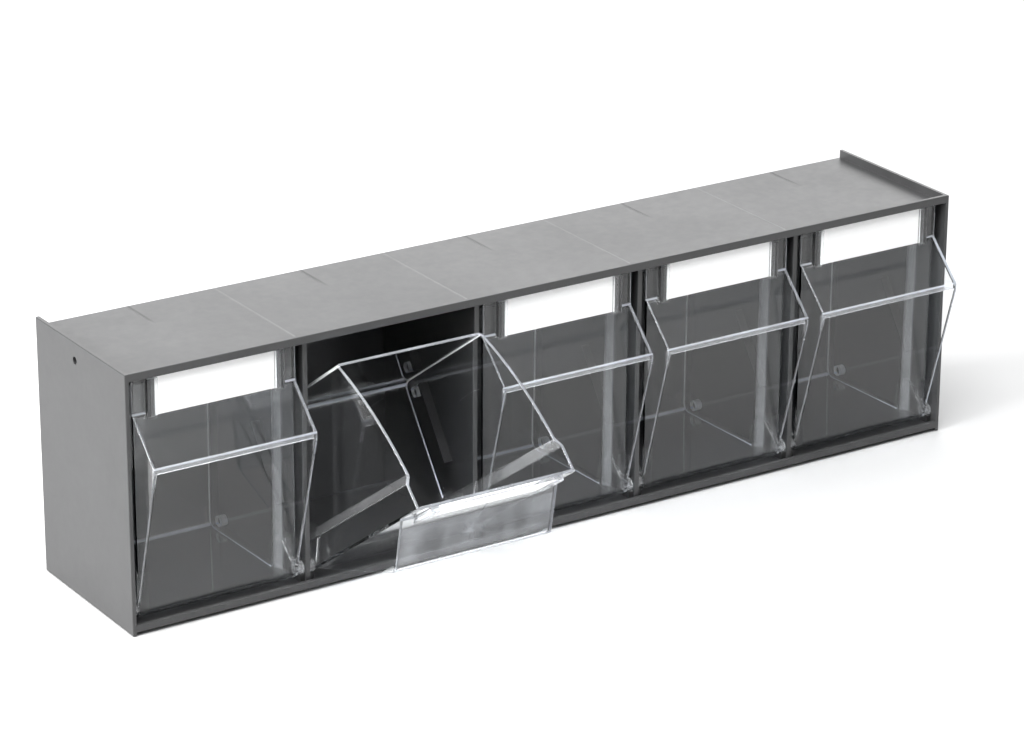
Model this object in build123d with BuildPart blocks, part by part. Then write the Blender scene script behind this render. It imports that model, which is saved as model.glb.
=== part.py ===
from build123d import *
import math
import os

os.makedirs("parts", exist_ok=True)

# Parts bin cabinet: a low, wide housing with five bays, and a clear bin hinged in
# each bay near its front bottom edge, so that it tips out towards the user.
# Millimetres. +X right, +Y back, +Z up. The origin is the middle of the housing's
# footprint, on the surface that the cabinet stands on.

# ------------------------------------------------------------------ housing
WIDTH = 600.0            # over both end plates
DEPTH = 113.0            # front edges to back face
HEIGHT = 164.0           # end plates, and the lip along the top panel
END_T = 2.5              # end plate thickness
TOP_Z = 158.7            # top panel, sunk between the end plates and the front lip for stacking
TOP_T = 1.7
TOP_STEP_Z = 161.3       # it steps up behind the front lip, over the bins' front rims
TOP_STEP_FRONT = 8.3
TOP_STEP_BACK = 13.8
PANEL_T = 2.4            # floor
FLOOR_FRONT = 2.0        # underside of the floor at the front
FLOOR_BACK = 2.6         # and at the back
BACK_T = 2.5
RAIL_T = 2.5             # lips along the front edges of the top panel and floor
RAIL_TOP_Z = 159.0       # lower edge of the top lip
RAIL_BOTTOM_Z = 6.6      # upper edge of the bottom lip
PITCH = 119.6            # bay to bay
DIVIDER_T = 3.0
DIVIDER_FRONT = 4.0      # the dividers' front edges stand this far behind the lips
GUSSET_T = 2.0           # triangular web under the top panel at the middle of a bay
GUSSET_LEG = 33.5
SIDE_HOLE_R = 2.4        # hole through each end plate, for joining cabinets side by side
SIDE_HOLE_Y = 62.7
SIDE_HOLE_Z = 152.7
WALL_HOLE_R = 2.5        # screw holes through the back panel
WALL_HOLE_X = 215.0
WALL_HOLE_Z = 140.0

# ------------------------------------------------------------- hinge and stop
PIVOT_Y = 9.3            # hinge axis behind the housing's front edge
PIVOT_Z = 13.0           # and above the surface
PIN_R = 4.0              # hollow stub on each side of a bin
PIN_HOLE_R = 1.85
SEAT_R = 4.05            # open seat in the housing that the stub snaps into from the front
POST_IN = 55.2           # inner face of a seat post, from the middle of its bay
POST_FRONT = 5.6         # the post's low front lip
POST_LIP_Z = 9.3
POST_BACK = 16.2
POST_TOP_Z = 18.9        # the hook that reaches over the stub from behind
OPEN_ANGLE = 55.5        # tilt of an open bin, where its lugs meet the stop ribs
LUG_R = 3.5
LUG_Y = 97.5
LUG_Z = 12.5
LUG_X = 55.5
STOP_IN = 52.2           # how near the middle of the bay a stop rib comes
STOP_T = 2.0
STOP_START = 40.0        # distances from the hinge axis along the rib
STOP_END = 92.0

# ------------------------------------------------------------------------ bin
WALL = 1.8
EASE = 0.4               # eased rims and edges
BIN_FRONT = 5.6          # outer face of the front wall, behind the housing's front edge
BIN_BACK = 107.3
BIN_TOP = 158.4
BIN_HALF = 54.1          # half width of the front part
REAR_HALF = 51.3         # half width behind the joggle, at the top
BACK_HALF = 50.9         # and at the back wall
REAR_DROP = 1.1          # the rear part is narrower by this at the bottom, as draft
JOGGLE_Y = 22.5
JOGGLE_RUN = 5.0
FRONT_R = 7.0            # round of the front bottom edge
BACK_R = 8.0             # round of the back bottom edge
CORNER_R = 3.0           # rounds of the upright back corners
FRONT_BASE_Z = 6.4       # underside of the bin near the front
BACK_BASE_Z = 5.4        # and at the back
SIDE_KNEE = (25.2, 154.0)    # the side wall's top edge: straight to here,
SIDE_MID = (66.0, 137.2)     # then one arc through here
BACK_TOP_Z = 110.3           # to the top of the back wall

# ----------------------------------------------------- pull and label holder
CREASE_Z = 136.2         # where the pull leaves the front wall
APEX = (-19.6, 110.8)    # its furthest point in front
LIP_Z = 107.4            # lower edge of the lip at that point
PULL_T = 2.0
WING_FOOT_Z = 17.5       # where a wing's edge meets the front wall again
RAIL_IN = 42.8           # label rails, from the middle of the bin
RAIL_OUT = 45.2
RAIL_FACE = 2.2          # front face of a rail, behind the housing's front edge
RAIL_LIP = 38.6
RAIL_HEAD_Z = 157.6
CARD_HALF = 40.1
CARD_T = 0.5
CARD_FRONT = 3.2
CARD_FOOT_Z = 134.4
CARD_HEAD_Z = 157.7

INNER = WIDTH / 2 - END_T                     # end plates' inner faces
BAY_HALF = (PITCH - DIVIDER_T) / 2            # half of a bay's clear width
BAYS = [PITCH * n for n in (-2, -1, 0, 1, 2)]
DIVIDERS = [PITCH * n for n in (-1.5, -0.5, 0.5, 1.5)]
TILT = [0.0, OPEN_ANGLE, 0.0, 0.0, 0.0]       # the second bin from the left is tipped out


def housing_side(x):
    """Upright plane across the cabinet at x. Its coordinates are the distance behind
    the housing's front edge and the height above the surface."""
    return Plane(origin=(x, -DEPTH / 2, 0), x_dir=(0, 1, 0), z_dir=(1, 0, 0))


def bin_side(x):
    """The same plane in a bin's own frame, whose origin is on the hinge axis."""
    return Plane(origin=(x, -PIVOT_Y, -PIVOT_Z), x_dir=(0, 1, 0), z_dir=(1, 0, 0))


def under_top(drop):
    """The top panel's surface from the front lip to the back edge, lowered by drop."""
    return [(TOP_STEP_FRONT, TOP_STEP_Z - drop), (TOP_STEP_BACK, TOP_Z - drop), (DEPTH, TOP_Z - drop)]


def floor_z(y):
    return FLOOR_FRONT + (FLOOR_BACK - FLOOR_FRONT) * y / DEPTH


# A stop rib runs along the radial line on which a lug lies when its bin is open,
# far enough to one side that the lug's round face just reaches it.
LUG_ANGLE = math.degrees(math.atan2(LUG_Z - PIVOT_Z, LUG_Y - PIVOT_Y)) + OPEN_ANGLE
STOP_SHIFT = LUG_R + 0.3 + STOP_T / 2
STOP_MID = (STOP_START + STOP_END) / 2
STOP_Y = PIVOT_Y + STOP_MID * math.cos(math.radians(LUG_ANGLE)) - STOP_SHIFT * math.sin(math.radians(LUG_ANGLE))
STOP_Z = PIVOT_Z + STOP_MID * math.sin(math.radians(LUG_ANGLE)) + STOP_SHIFT * math.cos(math.radians(LUG_ANGLE))

# ------------------------------------------------------------- housing shell
with BuildPart() as housing_shell:
    # top panel, with the lip that hangs from its front edge
    with BuildSketch(housing_side(-INNER)):
        with BuildLine():
            Polyline(
                (0, HEIGHT), (0, RAIL_TOP_Z), (RAIL_T, RAIL_TOP_Z), (RAIL_T, TOP_STEP_Z - TOP_T),
                *under_top(TOP_T), *reversed(under_top(0)), (RAIL_T, TOP_STEP_Z), (RAIL_T, HEIGHT), (0, HEIGHT),
            )
        make_face()
    extrude(amount=2 * INNER)
    # floor, with the low lip along its front edge
    with BuildSketch(housing_side(-INNER)):
        with BuildLine():
            Polyline(
                (0, FLOOR_FRONT), (DEPTH, FLOOR_BACK), (DEPTH, FLOOR_BACK + PANEL_T),
                (RAIL_T, floor_z(RAIL_T) + PANEL_T), (RAIL_T, RAIL_BOTTOM_Z), (0, RAIL_BOTTOM_Z), (0, FLOOR_FRONT),
            )
        make_face()
    extrude(amount=2 * INNER)
    # back panel
    with BuildSketch(housing_side(-INNER)):
        with BuildLine():
            Polyline(
                (DEPTH - BACK_T, FLOOR_BACK + 1), (DEPTH, FLOOR_BACK + 1), (DEPTH, TOP_Z - 1),
                (DEPTH - BACK_T, TOP_Z - 1), (DEPTH - BACK_T, FLOOR_BACK + 1),
            )
        make_face()
    extrude(amount=2 * INNER)
    # dividers between the bays
    for x in DIVIDERS:
        with BuildSketch(housing_side(x - DIVIDER_T / 2)):
            with BuildLine():
                Polyline(
                    (DIVIDER_FRONT, floor_z(DIVIDER_FRONT) + 1), (DEPTH - 1, floor_z(DEPTH) + 1),
                    (DEPTH - 1, TOP_Z - 1), (TOP_STEP_BACK, TOP_Z - 1), (TOP_STEP_FRONT, TOP_STEP_Z - 1),
                    (DIVIDER_FRONT, TOP_STEP_Z - 1),
                    (DIVIDER_FRONT, floor_z(DIVIDER_FRONT) + 1),
                )
            make_face()
        extrude(amount=DIVIDER_T)
    # triangular web between the top panel and the back panel, in the middle of each bay
    for x in BAYS:
        foot = TOP_Z - TOP_T - GUSSET_LEG
        with BuildSketch(housing_side(x - GUSSET_T / 2)):
            with BuildLine():
                Polyline(
                    (DEPTH - BACK_T - GUSSET_LEG - 1, foot + GUSSET_LEG + 1), (DEPTH - 1, foot + GUSSET_LEG + 1),
                    (DEPTH - 1, foot - 1.5), (DEPTH - BACK_T - GUSSET_LEG - 1, foot + GUSSET_LEG + 1),
                )
            make_face()
        extrude(amount=GUSSET_T)
    # seat posts: each wraps its stub from the front bottom, under and behind it, to the
    # top, a little over half way round, so that the stub snaps in and stays
    for x in BAYS:
        for s in (-1, 1):
            reach = BAY_HALF - POST_IN if abs(x + s * BAY_HALF) > INNER - 1 else BAY_HALF - POST_IN + 0.5
            with BuildSketch(housing_side(x + s * POST_IN)):
                with BuildLine():
                    Polyline(
                        (POST_FRONT, floor_z(0) + 1), (POST_BACK + 3.5, floor_z(0) + 1), (POST_BACK, 10.5),
                        (POST_BACK, POST_TOP_Z - 2.3), (POST_BACK - 1.9, POST_TOP_Z), (PIVOT_Y + 0.4, POST_TOP_Z),
                        (PIVOT_Y, PIVOT_Z), (POST_FRONT + 0.7, POST_LIP_Z + 0.2), (POST_FRONT, POST_LIP_Z),
                        (POST_FRONT, floor_z(0) + 1),
                    )
                make_face()
                with Locations((PIVOT_Y, PIVOT_Z)):
                    Circle(SEAT_R, mode=Mode.SUBTRACT)
            extrude(amount=s * reach)
    # stop ribs on both faces of every divider
    for x in BAYS:
        for s in (-1, 1):
            if abs(x + s * BAY_HALF) > INNER - 1:
                continue
            with BuildSketch(housing_side(x + s * STOP_IN)):
                with Locations((STOP_Y, STOP_Z)):
                    Rectangle(STOP_END - STOP_START, STOP_T, rotation=LUG_ANGLE)
            extrude(amount=s * (BAY_HALF - STOP_IN + 0.5))
    # screw holes in the back panel
    with Locations(
        Plane(origin=(-WALL_HOLE_X, DEPTH / 2, WALL_HOLE_Z), x_dir=(1, 0, 0), z_dir=(0, 1, 0)),
        Plane(origin=(WALL_HOLE_X, DEPTH / 2, WALL_HOLE_Z), x_dir=(1, 0, 0), z_dir=(0, 1, 0)),
    ):
        Hole(WALL_HOLE_R, depth=BACK_T + 1)
    # eased front edges
    fillet(
        housing_shell.edges().filter_by(Axis.X).filter_by(
            lambda e: e.length > 500 and abs(e.center().Y + DEPTH / 2) < 0.01
        ),
        0.5,
    )
housing_shell.part.label = "housing_shell"
export_step(housing_shell.part, "parts/housing_shell.step")


# ----------------------------------------------------------------- end plates
def end_plate(s):
    """A full-height plate, with the stop rib of the outermost bay on its inner face."""
    with BuildPart() as plate:
        with BuildSketch(housing_side(s * INNER)):
            with Locations((DEPTH / 2, HEIGHT / 2)):
                Rectangle(DEPTH, HEIGHT)
        extrude(amount=s * END_T)
        fillet(plate.faces().sort_by(Axis.X)[-1 if s > 0 else 0].edges(), 0.6)
        with BuildSketch(housing_side(s * (BAYS[4] + STOP_IN))):
            with Locations((STOP_Y, STOP_Z)):
                Rectangle(STOP_END - STOP_START, STOP_T, rotation=LUG_ANGLE)
        extrude(amount=s * (BAY_HALF - STOP_IN + 0.5))
        with BuildSketch(housing_side(s * (INNER - 1))):
            with Locations((SIDE_HOLE_Y, SIDE_HOLE_Z)):
                Circle(SIDE_HOLE_R)
        extrude(amount=s * (END_T + 2), mode=Mode.SUBTRACT)
    return plate.part


for name, s in (("left_end_plate", -1), ("right_end_plate", 1)):
    plate = end_plate(s)
    plate.label = name
    export_step(plate, f"parts/{name}.step")


# ------------------------------------------------------------------------ bin
def bin_plan(inset, drop):
    """Outline of a bin seen from above, inset by a wall thickness or not. Behind the
    joggle the sides stand in, and drop narrows that part for the section lower down."""
    slope = (BIN_HALF - REAR_HALF) / JOGGLE_RUN
    start = JOGGLE_Y - inset * (math.hypot(1, slope) - 1) / slope
    front = BIN_HALF - inset
    rear = REAR_HALF - inset - drop
    knee = start + (front - rear) / slope
    back_y = BIN_BACK + 10
    back = rear - (REAR_HALF - BACK_HALF) * (back_y - knee) / (BIN_BACK - JOGGLE_Y - JOGGLE_RUN)
    half = [(front, BIN_FRONT - 10), (front, start), (rear, knee), (back, back_y)]
    right = [(x, y - PIVOT_Y) for x, y in half]
    left = [(-x, y) for x, y in reversed(right)]
    return right + left + right[:1]


def bin_block(inset, top):
    """The solid inside a bin's outer surface, or inside its inner surface."""
    with BuildPart() as block:
        for z, drop in ((-PIVOT_Z, REAR_DROP), (170.0, 0.0)):
            with BuildSketch(Plane.XY.offset(z)):
                with BuildLine():
                    Polyline(*bin_plan(inset, drop))
                make_face()
        loft(ruled=True)
        front, back = BIN_FRONT + inset, BIN_BACK - inset
        z0, z1 = FRONT_BASE_Z + inset, BACK_BASE_Z + inset
        rf, rb = FRONT_R - inset, BACK_R - inset
        with BuildSketch(bin_side(-70)):
            with BuildLine():
                if top:
                    Line((front, z0 + rf), (front, BIN_TOP))
                    Line((front, BIN_TOP), SIDE_KNEE)
                    ThreePointArc(SIDE_KNEE, SIDE_MID, (back, BACK_TOP_Z))
                    Line((back, BACK_TOP_Z), (back, z1 + rb))
                else:
                    Polyline((front, z0 + rf), (front, 175), (back, 175), (back, z1 + rb))
                RadiusArc((back, z1 + rb), (back - rb, z1), rb)
                Line((back - rb, z1), (front + rf, z0))
                RadiusArc((front + rf, z0), (front, z0 + rf), rf)
            make_face()
        extrude(amount=140, mode=Mode.INTERSECT)
        upright = block.edges().filter_by(
            lambda e: e.length > 80 and abs(e.center().Y + PIVOT_Y - back) < 0.3 and abs(e.center().X) > 40
        )
        fillet(upright, CORNER_R - inset if inset else CORNER_R)
    return block.part


bin_outer = bin_block(0.0, True)
bin_inner = bin_block(WALL, False)

slope_run = BIN_FRONT - APEX[0]
slope_rise = CREASE_Z - APEX[1]
slope = slope_rise / slope_run                                  # height per distance from the wall
plate_drop = PULL_T * math.hypot(slope_run, slope_rise) / slope_run  # upright thickness of the sloping plate


def slope_z(y):
    return CREASE_Z - (BIN_FRONT - y) * slope


with BuildPart() as bin_master:
    add(bin_outer)
    # pull: a plate that slopes forward and down from the crease, with a short lip
    with BuildSketch(bin_side(-BIN_HALF)):
        with BuildLine():
            Polyline(
                (BIN_FRONT + 1, CREASE_Z), (BIN_FRONT, CREASE_Z), APEX, (APEX[0], LIP_Z), (APEX[0] + PULL_T, LIP_Z),
                (APEX[0] + PULL_T, slope_z(APEX[0] + PULL_T) - plate_drop),
                (BIN_FRONT, CREASE_Z - plate_drop), (BIN_FRONT + 1, CREASE_Z - plate_drop), (BIN_FRONT + 1, CREASE_Z),
            )
        make_face()
    extrude(amount=2 * BIN_HALF)
    # wings: the ends of the pull, running down to a point at the foot of the front wall
    for x in (-BIN_HALF, BIN_HALF - PULL_T):
        with BuildSketch(bin_side(x)):
            with BuildLine():
                Polyline(
                    (BIN_FRONT + 1, CREASE_Z), (BIN_FRONT, CREASE_Z), APEX, (APEX[0], LIP_Z),
                    (BIN_FRONT, WING_FOOT_Z), (BIN_FRONT + 1, WING_FOOT_Z), (BIN_FRONT + 1, CREASE_Z),
                )
            make_face()
        extrude(amount=PULL_T)
    # stubs of the hinge and lugs of the stop, on both sides
    for s in (-1, 1):
        with BuildSketch(bin_side(s * (BIN_HALF - 1))):
            with Locations((PIVOT_Y, PIVOT_Z)):
                Circle(PIN_R)
        extrude(amount=s * (BAY_HALF - 0.3 - BIN_HALF + 1))
        with BuildSketch(bin_side(s * (BACK_HALF - 2.2))):
            with Locations((LUG_Y, LUG_Z)):
                Circle(LUG_R)
        extrude(amount=s * (LUG_X - BACK_HALF + 2.2))
    # the space inside
    add(bin_inner, mode=Mode.SUBTRACT)
    for s in (-1, 1):
        # the stubs are hollow, open to the inside
        with BuildSketch(bin_side(s * (BIN_HALF - WALL))):
            with Locations((PIVOT_Y, PIVOT_Z)):
                Circle(PIN_HOLE_R)
        extrude(amount=s * 10, mode=Mode.SUBTRACT)
        # slanting rib inside each side wall, from the stub up to the joggle
        with BuildSketch(bin_side(s * (BIN_HALF - WALL + 0.3))):
            with BuildLine():
                Polyline((8.7, 18.3), (9.7, 17.2), (21.6, 28.4), (21.6, 30.5), (8.7, 18.3))
            make_face()
        extrude(amount=-s * 1.5)
        # label rail: outer leg, front lip and the ledge that backs the card
        for x0, x1, y0, y1 in (
            (RAIL_IN, RAIL_OUT, RAIL_FACE, BIN_FRONT + 0.3),
            (RAIL_LIP, RAIL_IN, RAIL_FACE, RAIL_FACE + 0.8),
            (RAIL_LIP + 0.6, RAIL_IN, CARD_FRONT + CARD_T + 0.15, BIN_FRONT + 0.3),
        ):
            with BuildSketch(bin_side(s * x0)):
                with BuildLine():
                    Polyline(
                        (y0, slope_z(y0) - 0.5), (y0, RAIL_HEAD_Z), (y1, RAIL_HEAD_Z), (y1, slope_z(y1) - 0.5),
                        (y0, slope_z(y0) - 0.5),
                    )
                make_face()
            extrude(amount=s * (x1 - x0))

# Eased edges. Each group is rounded on its own, and is found by where its ends lie, as
# distances behind the housing's front edge and heights above the surface.
def ends(e):
    return [(abs(v.X), v.Y + PIVOT_Y, v.Z + PIVOT_Z) for v in (e.position_at(0), e.position_at(1))]


def near(e, y=None, z=None):
    return all((y is None or abs(p[1] - y) < 0.05) and (z is None or abs(p[2] - z) < 0.05) for p in ends(e))


def is_rim(e):
    """An edge of the top of a wall, outside or inside."""
    a, b = ends(e)
    front = e.length > 90 and (near(e, BIN_FRONT, BIN_TOP) or (near(e, BIN_FRONT + WALL) and a[2] > 157))
    behind = min(a[2], b[2]) > 109 and max(a[1], b[1]) < 108
    side = behind and e.length > 6 and min(a[1], b[1]) > 5 and abs(a[1] - b[1]) > 3
    back = behind and e.length > 80 and min(a[1], b[1]) > 104
    return front or side or back


def is_wing_slope(e):
    a, b = ends(e)
    outside = abs(a[0] - BIN_HALF) < 0.05 and abs(b[0] - BIN_HALF) < 0.05
    return outside and 30 < e.length < 40 and max(a[2], b[2]) > 135 and min(a[1], b[1]) < -17


EASED = [
    (is_rim, EASE),
    (lambda e: e.length > 90 and near(e, APEX[0], APEX[1]), 2 * EASE),          # nose of the pull
    (lambda e: e.length > 90 and near(e, APEX[0], LIP_Z), EASE),                # lip, in front
    (lambda e: e.length > 90 and near(e, APEX[0] + PULL_T, LIP_Z), EASE),       # and behind
    (is_wing_slope, EASE),
]

with BuildPart() as bin_eased:
    add(bin_master.part)
    for chosen, radius in EASED:
        fillet(bin_eased.edges().filter_by(chosen), radius)

with BuildPart() as card_master:
    with BuildSketch(Plane(origin=(0, CARD_FRONT - PIVOT_Y, -PIVOT_Z), x_dir=(1, 0, 0), z_dir=(0, -1, 0))):
        with Locations((0, (CARD_FOOT_Z + CARD_HEAD_Z) / 2)):
            Rectangle(2 * CARD_HALF, CARD_HEAD_Z - CARD_FOOT_Z)
    extrude(amount=-CARD_T)

for n, (x, tilt) in enumerate(zip(BAYS, TILT), start=1):
    place = Location((x, PIVOT_Y - DEPTH / 2, PIVOT_Z), (tilt, 0, 0))
    with BuildPart() as bin_n:
        with Locations(place):
            add(bin_eased.part)
    bin_n.part.label = f"bin_{n}"
    export_step(bin_n.part, f"parts/bin_{n}.step")
    with BuildPart() as card_n:
        with Locations(place):
            add(card_master.part)
    card_n.part.label = f"label_card_{n}"
    export_step(card_n.part, f"parts/label_card_{n}.step")
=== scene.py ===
import bpy, math
from mathutils import Matrix, Vector

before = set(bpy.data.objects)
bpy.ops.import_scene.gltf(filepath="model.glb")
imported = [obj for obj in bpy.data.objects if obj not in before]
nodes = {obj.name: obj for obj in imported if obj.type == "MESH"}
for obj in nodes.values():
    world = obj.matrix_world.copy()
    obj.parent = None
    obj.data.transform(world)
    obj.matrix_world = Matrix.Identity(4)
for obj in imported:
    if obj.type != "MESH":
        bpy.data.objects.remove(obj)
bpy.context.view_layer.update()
scene = bpy.context.scene

# ------------------------------------------------------------------- camera
AZ, EL, ROLL = (math.radians(v) for v in (-33.005, 21.359, 0.252))
forward = Vector((-math.sin(AZ) * math.cos(EL), math.cos(AZ) * math.cos(EL), -math.sin(EL)))
right = forward.cross(Vector((0, 0, 1))).normalized()
up = right.cross(forward)
right, up = right * math.cos(ROLL) + up * math.sin(ROLL), up * math.cos(ROLL) - right * math.sin(ROLL)
cam_data = bpy.data.cameras.new("camera")
cam_data.sensor_width = 36.0
cam_data.lens = 137.0
cam = bpy.data.objects.new("camera", cam_data)
scene.collection.objects.link(cam)
cam.matrix_world = Matrix.Translation((-1.2397, -1.9083, 0.9720)) @ Matrix(
    (
        (right.x, up.x, -forward.x, 0),
        (right.y, up.y, -forward.y, 0),
        (right.z, up.z, -forward.z, 0),
        (0, 0, 0, 1),
    )
)
scene.camera = cam

# ------------------------------------------------------------ light and floor
scene.view_settings.view_transform = "Standard"
scene.view_settings.look = "None"
scene.cycles.max_bounces = 24
scene.cycles.transmission_bounces = 20
scene.cycles.transparent_max_bounces = 24
scene.cycles.glossy_bounces = 6
scene.cycles.diffuse_bounces = 4

world = bpy.data.worlds.new("world")
scene.world = world
world.use_nodes = True
world.node_tree.nodes["Background"].inputs["Color"].default_value = (0.96, 0.98, 1.0, 1)
world.node_tree.nodes["Background"].inputs["Strength"].default_value = 0.33


def area(name, at, to, size, size_y, power, color=(1, 1, 1)):
    data = bpy.data.lights.new(name, "AREA")
    data.shape = "RECTANGLE"
    data.size, data.size_y = size, size_y
    data.energy = power
    data.color = color
    lamp = bpy.data.objects.new(name, data)
    scene.collection.objects.link(lamp)
    lamp.location = at
    lamp.rotation_mode = "QUATERNION"
    lamp.rotation_quaternion = (Vector(to) - Vector(at)).to_track_quat("-Z", "Y")
    return lamp


area("light_key", (-0.6, -1.15, 2.6), (0, 0, 0.05), 2.2, 1.4, 84)
area("light_top", (-0.1, 0.8, 2.4), (0, 0, 0.1), 2.6, 1.8, 35)
area("light_left", (-2.5, 0.1, 1.0), (-0.1, 0, 0.08), 1.8, 1.4, 165)
area("light_back", (1.3, 2.3, 1.3), (0, 0, 0.12), 2.6, 1.4, 35)

floor_mesh = bpy.data.meshes.new("floor")
floor_mesh.from_pydata([(-30, -30, 0), (30, -30, 0), (30, 30, 0), (-30, 30, 0)], [], [(0, 1, 2, 3)])
floor = bpy.data.objects.new("floor", floor_mesh)
scene.collection.objects.link(floor)
floor.location.z = -0.0005


# ---------------------------------------------------------------- materials
class Tree:
    """A material's nodes, with short calls to add and link them."""

    def __init__(self, name):
        self.mat = bpy.data.materials.new(name)
        self.mat.use_nodes = True
        self.nt = self.mat.node_tree
        self.out = self.nt.nodes["Material Output"]
        self.bsdf = self.nt.nodes["Principled BSDF"]
        self.n = {}

    def add(self, kind, **values):
        node = self.nt.nodes.new(kind)
        for key, value in values.items():
            if hasattr(node, key):
                setattr(node, key, value)
            else:
                node.inputs[key.replace("_", " ")].default_value = value
        return node

    def link(self, a, b):
        self.nt.links.new(a, b)

    def math(self, op, a, b=None, c=None, clamp=False):
        node = self.nt.nodes.new("ShaderNodeMath")
        node.operation = op
        node.use_clamp = clamp
        for i, v in enumerate((a, b, c)):
            if v is None:
                continue
            if isinstance(v, (int, float)):
                node.inputs[i].default_value = v
            else:
                self.link(v, node.inputs[i])
        return node.outputs[0]

    def ramp(self, fac, stops):
        node = self.nt.nodes.new("ShaderNodeValToRGB")
        el = node.color_ramp.elements
        while len(el) < len(stops):
            el.new(0.5)
        for e, (pos, col) in zip(el, stops):
            e.position = pos
            e.color = (*col, 1) if len(col) == 3 else col
        self.link(fac, node.inputs["Fac"])
        return node.outputs["Color"]

    def range(self, value, a, b, c, d):
        node = self.nt.nodes.new("ShaderNodeMapRange")
        for i, v in enumerate((a, b, c, d), start=1):
            node.inputs[i].default_value = v
        self.link(value, node.inputs[0])
        return node.outputs[0]


# how strongly a painted highlight whitens each kind of edge, standing in for the light it catches
RIM, NOSE, LIP, WING, WING_END, VERTICAL, CREASE = 0.27, 0.40, 0.09, 0.24, 0.42, 0.20, 0.36
JOGGLE, CORNER, FOOT, STUB, LUG, LABEL_RAIL = 0.15, 0.6, 0.4, 0.14, 0.8, 0.04
HIGHLIGHT_NEUTRAL = (0.80, 0.82, 0.84, 1)
HIGHLIGHT_COOL = (0.64, 0.77, 0.97, 1)
HIGHLIGHT_FAR = (0.40, 0.48, 0.80, 1)


def floor_material():
    t = Tree("floor_pale")
    t.bsdf.inputs["Base Color"].default_value = (0.58, 0.58, 0.58, 1)
    t.bsdf.inputs["Roughness"].default_value = 0.8
    t.bsdf.inputs["Specular IOR Level"].default_value = 0.2
    return t.mat


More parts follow.
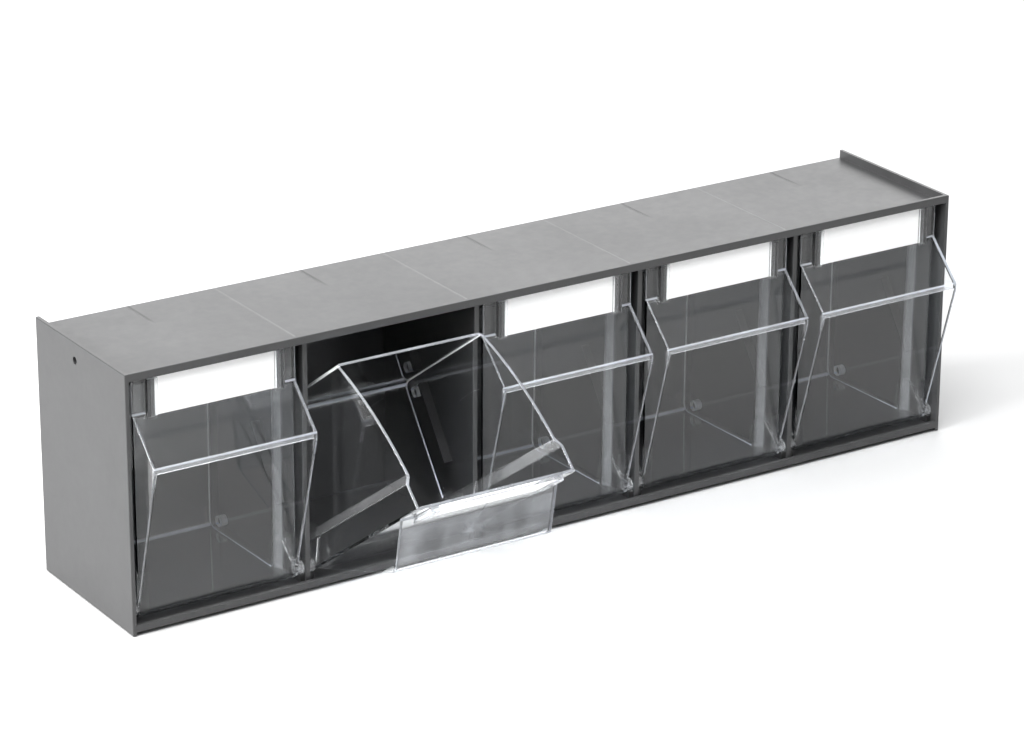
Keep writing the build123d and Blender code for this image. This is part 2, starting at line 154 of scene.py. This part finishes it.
def housing_material():
    t = Tree("housing_grey")
    coord = t.add("ShaderNodeTexCoord").outputs["Object"]
    xyz = t.add("ShaderNodeSeparateXYZ")
    t.link(coord, xyz.inputs[0])
    # grain of the moulded surface
    grain = t.add("ShaderNodeTexNoise", Scale=1400.0, Detail=2.0, Roughness=0.6)
    t.link(coord, grain.inputs["Vector"])
    # slow change of tone, as in any large moulding
    cloud = t.add("ShaderNodeTexNoise", Scale=9.0, Detail=3.0, Roughness=0.55)
    t.link(coord, cloud.inputs["Vector"])
    fine = t.add("ShaderNodeTexNoise", Scale=160.0, Detail=4.0, Roughness=0.6)
    t.link(coord, fine.inputs["Vector"])
    # flow marks run along the length of the panels
    flow_map = t.add("ShaderNodeMapping")
    flow_map.inputs["Scale"].default_value = (1.2, 14.0, 14.0)
    t.link(coord, flow_map.inputs["Vector"])
    flow = t.add("ShaderNodeTexNoise", Scale=3.0, Detail=4.0, Roughness=0.5)
    t.link(flow_map.outputs[0], flow.inputs["Vector"])

    tone = t.math("ADD", t.range(cloud.outputs["Fac"], 0.3, 0.7, 0.90, 1.08), t.range(fine.outputs["Fac"], 0.3, 0.7, -0.04, 0.04))
    tone = t.math("ADD", tone, t.range(flow.outputs["Fac"], 0.3, 0.7, -0.05, 0.05))

    # sink lines over the four dividers, and short ones over the webs at the back: dents in the bump, with painted
    # highlight along the divider lines and painted shade along the web lines
    x, y, z = xyz.outputs["X"], xyz.outputs["Y"], xyz.outputs["Z"]
    on_top = t.math("MULTIPLY", t.math("GREATER_THAN", z, 0.1578), t.math("GREATER_THAN", y, -0.0538))
    lines = None
    pitch = 0.1196
    near = t.math("ABSOLUTE", t.math("SUBTRACT", t.math("PINGPONG", t.math("ADD", x, pitch / 2), pitch / 2), 0.0))
    # distance from the nearest divider, which stand half a pitch off the middle
    divider = t.math("SUBTRACT", 1.0, t.math("DIVIDE", near, 0.0014), clamp=True)
    web = t.math("SUBTRACT", 1.0, t.math("DIVIDE", t.math("PINGPONG", x, pitch / 2), 0.0015), clamp=True)
    web = t.math("MULTIPLY", web, t.range(y, 0.020, 0.034, 0.0, 1.0))
    inside = t.math("LESS_THAN", t.math("ABSOLUTE", x), 0.290)
    divider = t.math("MULTIPLY", t.math("MULTIPLY", divider, on_top), t.math("MULTIPLY", inside, t.range(y, 0.05, -0.05, 0.45, 1.0)))
    web = t.math("MULTIPLY", web, on_top)
    sink = t.math("ADD", divider, web)
    # painted highlight along the divider lines, painted shade along the web lines
    tone = t.math("ADD", tone, t.math("SUBTRACT", t.math("MULTIPLY", divider, 1.3), t.math("MULTIPLY", web, 0.75)))

    # the inside is moulded against a polished core, so its bump is weaker; its colour is also darkened there by
    # 40%, as painted shade
    behind = t.range(y, -0.0520, -0.0510, 0.0, 1.0)
    below = t.range(z, 0.1582, 0.1574, 0.0, 1.0)
    above = t.range(z, 0.0028, 0.0038, 0.0, 1.0)
    between = t.range(t.math("ABSOLUTE", x), 0.2980, 0.2970, 0.0, 1.0)
    ahead = t.range(y, 0.0552, 0.0545, 0.0, 1.0)
    inside_shade_and_polish = t.math("MULTIPLY", t.math("MULTIPLY", behind, below), t.math("MULTIPLY", t.math("MULTIPLY", above, between), ahead))
    tone = t.math("MULTIPLY", tone, t.math("SUBTRACT", 1.0, t.math("MULTIPLY", inside_shade_and_polish, 0.6)))
    # the inner faces of the end plates above the top, between which the next cabinet is stacked, are darkened as
    # painted shade
    plate_inner_shade = t.math("MULTIPLY", between, t.math("MULTIPLY", t.range(z, 0.1590, 0.1594, 0.0, 1.0), t.range(t.math("ABSOLUTE", x), 0.2970, 0.2974, 0.0, 1.0)))
    plate_inner_shade = t.math("MULTIPLY", plate_inner_shade, behind)
    tone = t.math("MULTIPLY", tone, t.math("SUBTRACT", 1.0, t.math("MULTIPLY", plate_inner_shade, 0.35)))

    base = t.add("ShaderNodeMix", data_type="RGBA", blend_type="MULTIPLY")
    base.inputs["Factor"].default_value = 1.0
    base.inputs["A"].default_value = (0.046, 0.0463, 0.047, 1)
    comb = t.add("ShaderNodeCombineColor")
    for c in ("Red", "Green", "Blue"):
        t.link(tone, comb.inputs[c])
    t.link(comb.outputs[0], base.inputs["B"])
    t.link(base.outputs["Result"], t.bsdf.inputs["Base Color"])

    rough = t.math("ADD", t.range(cloud.outputs["Fac"], 0.3, 0.7, 0.40, 0.47), t.range(fine.outputs["Fac"], 0.3, 0.7, -0.03, 0.03))
    t.link(rough, t.bsdf.inputs["Roughness"])

    bump = t.add("ShaderNodeBump", Distance=0.00006)
    t.link(t.math("MULTIPLY_ADD", inside_shade_and_polish, -0.09, 0.10), bump.inputs["Strength"])
    t.link(grain.outputs["Fac"], bump.inputs["Height"])
    bump2 = t.add("ShaderNodeBump", Strength=0.8, Distance=0.0003, invert=True)
    t.link(sink, bump2.inputs["Height"])
    t.link(bump.outputs[0], bump2.inputs["Normal"])
    bump3 = t.add("ShaderNodeBump", Strength=0.12, Distance=0.0006)
    t.link(flow.outputs["Fac"], bump3.inputs["Height"])
    t.link(bump2.outputs[0], bump3.inputs["Normal"])
    t.link(bump3.outputs[0], t.bsdf.inputs["Normal"])
    return t.mat


def bin_material(name, tilt, joggle, pull_sheen):
    """Clear moulded plastic. Rims, lips, wings and rounds get painted highlights: they are
    made whiter and less clear than the walls. They are found in the bin's own frame, in
    millimetres behind the housing's front edge and above the surface; tilt is the angle
    at which the bin was modelled, and the last argument sets the painted sheen on its pull."""
    t = Tree(name)
    coord = t.add("ShaderNodeTexCoord")

    def upright(socket, center):
        rot = t.add("ShaderNodeVectorRotate", rotation_type="X_AXIS")
        rot.inputs["Center"].default_value = center
        rot.inputs["Angle"].default_value = -math.radians(tilt)
        t.link(socket, rot.inputs["Vector"])
        xyz = t.add("ShaderNodeSeparateXYZ")
        t.link(rot.outputs[0], xyz.inputs[0])
        return rot.outputs[0], xyz.outputs

    place, p = upright(coord.outputs["Object"], (0, -0.0472, 0.013))
    _, n = upright(coord.outputs["Normal"], (0, 0, 0))
    x = t.math("MULTIPLY", t.math("PINGPONG", p["X"], 0.0598), 1000.0)
    y = t.math("MULTIPLY_ADD", p["Y"], 1000.0, 56.5)
    z = t.math("MULTIPLY", p["Z"], 1000.0)
    nx, ny = t.math("ABSOLUTE", n["X"]), t.math("ABSOLUTE", n["Y"])
    nz = n["Z"]

    def over(v, a, b):
        return t.range(v, a, b, 0.0, 1.0)

    def under(v, a, b):
        return t.range(v, a, b, 1.0, 0.0)

    def both(*masks):
        out = masks[0]
        for m in masks[1:]:
            out = t.math("MULTIPLY", out, m)
        return out

    def ring(cy, cz):
        dy, dz = t.math("SUBTRACT", y, cy), t.math("SUBTRACT", z, cz)
        return t.math("SQRT", t.math("ADD", t.math("MULTIPLY", dy, dy), t.math("MULTIPLY", dz, dz)))

    stub, lug = ring(9.3, 13.0), ring(97.5, 12.5)
    lip = LIP * 0.5 if pull_sheen else LIP
    around = t.math("ABSOLUTE", nz)
    # how far a point is from the line along which the pull slopes, and the row's open right end
    sloping = t.math("MULTIPLY", t.math("SUBTRACT", t.math("MULTIPLY_ADD", y, -1.008, z), 130.55), 0.704)
    row_end = t.range(p["X"], 0.284, 0.290, 0.0, 1.0)
    aside = t.math("SUBTRACT", t.math("FLOORED_MODULO", t.math("ADD", p["X"], 0.0598), 0.1196), 0.0598)
    # each mask marks a painted highlight: there the plastic is made whiter and less clear
    masks = [
        (both(over(nz, 0.2, 0.5), over(z, 108.5, 109.0), t.math("MAXIMUM", over(y, 5.3, 5.7), over(z, 150.0, 151.0))), RIM),
        (both(under(y, -18.6, -18.2), over(z, 109.9, 110.4), under(z, 111.2, 111.7)), NOSE),
        (both(under(y, -17.4, -17.0), under(z, 109.9, 110.4)), lip),
        (both(over(x, 52.7, 53.2), under(y, 5.0, 5.5), under(nx, 0.80, 0.92)), WING),
        (both(over(x, 51.7, 52.2), under(y, 5.0, 5.5), over(sloping, -1.5, -0.9), row_end), WING_END),
        (both(over(aside, 0.0517, 0.0522), under(y, 5.0, 5.5), over(sloping, -1.2, -0.7)), WING),
        (both(over(x, 52.7, 53.2), under(y, 5.0, 5.5), under(nx, 0.80, 0.92), row_end), WING_END),
        (both(over(x, 53.2, 53.6), under(y, 6.2, 6.6), over(z, 135.5, 136.0)), VERTICAL),
        (both(under(t.math("ABSOLUTE", t.math("SUBTRACT", z, 136.1)), 0.5, 0.8), under(y, 6.0, 6.4), over(y, 4.5, 4.9), over(x, 45.2, 45.6)), CREASE),
        (both(over(y, 22.2, 22.5), under(y, 27.6, 28.2), over(nx, 0.2, 0.3), over(ny, 0.15, 0.25), over(x, 44.0, 45.0)), joggle),
        (both(over(nx, 0.4, 0.6), over(ny, 0.4, 0.6), over(y, 98.0, 100.0)), CORNER),
        (both(over(nx, 0.45, 0.6), over(around, 0.45, 0.6), under(z, 12.0, 14.0)), FOOT),
        (both(over(ny, 0.5, 0.65), over(around, 0.5, 0.65), under(z, 15.0, 16.0), over(y, 95.0, 97.0)), FOOT),
        (both(under(stub, 4.1, 4.4), over(stub, 2.9, 3.3), over(x, 54.0, 54.4)), STUB),
        (both(under(lug, 3.7, 4.0), over(lug, 2.5, 3.0), over(x, 51.2, 51.6)), LUG),
        (both(over(x, 38.4, 38.6), under(x, 45.3, 45.6), under(y, 5.4, 5.5), over(z, 132.0, 132.6), over(nx, 0.5, 0.7)), LABEL_RAIL),
    ]
    painted_highlight, cool_highlight = None, None
    for mask, weight in masks:
        m = t.math("MULTIPLY", mask, weight)
        painted_highlight = m if painted_highlight is None else t.math("MAXIMUM", painted_highlight, m)
        if weight in (RIM, NOSE, lip, WING, WING_END, VERTICAL, CREASE):
            cool_highlight = mask if cool_highlight is None else t.math("MAXIMUM", cool_highlight, mask)

    wave = t.add("ShaderNodeTexNoise", Scale=22.0, Detail=2.0, Roughness=0.5)
    t.link(place, wave.inputs["Vector"])
    scuff = t.add("ShaderNodeTexNoise", Scale=90.0, Detail=4.0, Roughness=0.6)
    t.link(place, scuff.inputs["Vector"])
    # the painted edge highlight is uneven along its length
    highlight_streak = t.add("ShaderNodeTexNoise", Scale=70.0, Detail=3.0, Roughness=0.6)
    t.link(place, highlight_streak.inputs["Vector"])
    painted_highlight = t.math("MULTIPLY", painted_highlight, t.range(highlight_streak.outputs["Fac"], 0.3, 0.7, 0.75, 1.1), clamp=True)
    # a painted sheen on the sloping face of the pull, in slanting streaks
    if pull_sheen:
        lean = t.add("ShaderNodeMapping")
        lean.inputs["Rotation"].default_value = (0, math.radians(38), 0)
        lean.inputs["Scale"].default_value = (70.0, 30.0, 9.0)
        t.link(place, lean.inputs["Vector"])
        sheen_streaks = t.add("ShaderNodeTexNoise", Scale=1.0, Detail=3.0, Roughness=0.55)
        t.link(lean.outputs[0], sheen_streaks.inputs["Vector"])
        face = both(under(y, 0.6, 1.2), over(z, 112.0, 113.0), under(nx, 0.2, 0.3), over(ny, 0.5, 0.6))
        painted_highlight = t.math("MAXIMUM", painted_highlight, t.math("MULTIPLY", face, t.range(sheen_streaks.outputs["Fac"], 0.32, 0.68, pull_sheen * 0.35, pull_sheen * 1.5)))

    # the painted highlight is neutral inside the walls and cool at the outer edges, more so at their right ends
    edge = t.add("ShaderNodeMix", data_type="RGBA")
    edge.inputs["A"].default_value = HIGHLIGHT_COOL
    edge.inputs["B"].default_value = HIGHLIGHT_FAR
    far = t.math("MULTIPLY", t.range(aside, 0.012, 0.046, 0.0, 0.8), t.math("SUBTRACT", 1.0, row_end))
    t.link(far, edge.inputs["Factor"])
    highlight_colour = t.add("ShaderNodeMix", data_type="RGBA")
    highlight_colour.inputs["A"].default_value = HIGHLIGHT_NEUTRAL
    t.link(edge.outputs["Result"], highlight_colour.inputs["B"])
    t.link(cool_highlight, highlight_colour.inputs["Factor"])
    tint_and_highlight = t.add("ShaderNodeMix", data_type="RGBA")
    tint_and_highlight.inputs["A"].default_value = (0.972, 0.978, 0.985, 1)
    if pull_sheen:
        # under the painted sheen the face gets a greyer tint and passes less light
        face_tint = t.add("ShaderNodeMix", data_type="RGBA")
        face_tint.inputs["A"].default_value = (0.972, 0.978, 0.985, 1)
        face_tint.inputs["B"].default_value = (0.85, 0.87, 0.90, 1)
        t.link(face, face_tint.inputs["Factor"])
        t.link(face_tint.outputs["Result"], tint_and_highlight.inputs["A"])
    t.link(highlight_colour.outputs["Result"], tint_and_highlight.inputs["B"])
    t.link(painted_highlight, tint_and_highlight.inputs["Factor"])
    t.link(tint_and_highlight.outputs["Result"], t.bsdf.inputs["Base Color"])
    t.link(t.math("SUBTRACT", 1.0, painted_highlight), t.bsdf.inputs["Transmission Weight"])
    t.bsdf.inputs["IOR"].default_value = 1.45
    rough = t.math("MULTIPLY_ADD", painted_highlight, 0.22, t.range(scuff.outputs["Fac"], 0.5, 0.8, 0.0, 0.03))
    # the lip, the rib beside each stub and the rails have a spark-eroded finish
    matt = both(under(y, -16.0, -15.5), under(z, 109.0, 109.6))
    matt = t.math("MAXIMUM", matt, both(under(stub, 22.0, 26.0), over(x, 46.0, 47.0), under(x, 52.2, 52.6)))
    matt = t.math("MAXIMUM", matt, both(over(x, 38.2, 38.4), under(x, 45.0, 45.3), under(y, 5.5, 5.7), over(z, 132.0, 132.6)))
    rough = t.math("MULTIPLY_ADD", matt, 0.22, rough)
    t.link(rough, t.bsdf.inputs["Roughness"])
    bump = t.add("ShaderNodeBump", Strength=0.07, Distance=0.0005)
    t.link(wave.outputs["Fac"], bump.inputs["Height"])
    t.link(bump.outputs[0], t.bsdf.inputs["Normal"])
    # lamps reach what the clear plastic covers
    path = t.add("ShaderNodeLightPath")
    clear = t.add("ShaderNodeBsdfTransparent")
    clear.inputs["Color"].default_value = (0.87, 0.88, 0.89, 1)
    mix = t.add("ShaderNodeMixShader")
    t.link(path.outputs["Is Shadow Ray"], mix.inputs[0])
    t.link(t.bsdf.outputs[0], mix.inputs[1])
    t.link(clear.outputs[0], mix.inputs[2])
    t.link(mix.outputs[0], t.out.inputs["Surface"])
    return t.mat


def card_material():
    t = Tree("card_white")
    coord = t.add("ShaderNodeTexCoord").outputs["Object"]
    fibre = t.add("ShaderNodeTexNoise", Scale=1500.0, Detail=4.0, Roughness=0.65)
    t.link(coord, fibre.inputs["Vector"])
    mottle = t.add("ShaderNodeTexNoise", Scale=60.0, Detail=3.0, Roughness=0.6)
    t.link(coord, mottle.inputs["Vector"])
    tone = t.math("ADD", t.range(fibre.outputs["Fac"], 0.3, 0.7, 0.96, 1.0), t.range(mottle.outputs["Fac"], 0.3, 0.7, -0.015, 0.0))
    base = t.add("ShaderNodeMix", data_type="RGBA", blend_type="MULTIPLY")
    base.inputs["Factor"].default_value = 1.0
    base.inputs["A"].default_value = (0.94, 0.94, 0.935, 1)
    comb = t.add("ShaderNodeCombineColor")
    for c in ("Red", "Green", "Blue"):
        t.link(tone, comb.inputs[c])
    t.link(comb.outputs[0], base.inputs["B"])
    t.link(base.outputs["Result"], t.bsdf.inputs["Base Color"])
    t.bsdf.inputs["Roughness"].default_value = 0.7
    bump = t.add("ShaderNodeBump", Strength=0.2, Distance=0.00004)
    t.link(fibre.outputs["Fac"], bump.inputs["Height"])
    t.link(bump.outputs[0], t.bsdf.inputs["Normal"])
    return t.mat


floor_mesh.materials.append(floor_material())
HOUSING, CARD = housing_material(), card_material()
BIN_UPRIGHT = bin_material("clear_bin", 0.0, JOGGLE, 0)
BIN_TIPPED = bin_material("clear_bin_tipped", 55.5, JOGGLE * 0.2, 0.10)
for name, obj in nodes.items():
    if name.startswith("bin"):
        mat = BIN_TIPPED if name == "bin_2" else BIN_UPRIGHT
    else:
        mat = CARD if name.startswith("label") else HOUSING
    for slot in obj.material_slots:
        slot.material = mat
    if not obj.material_slots:
        obj.data.materials.append(mat)
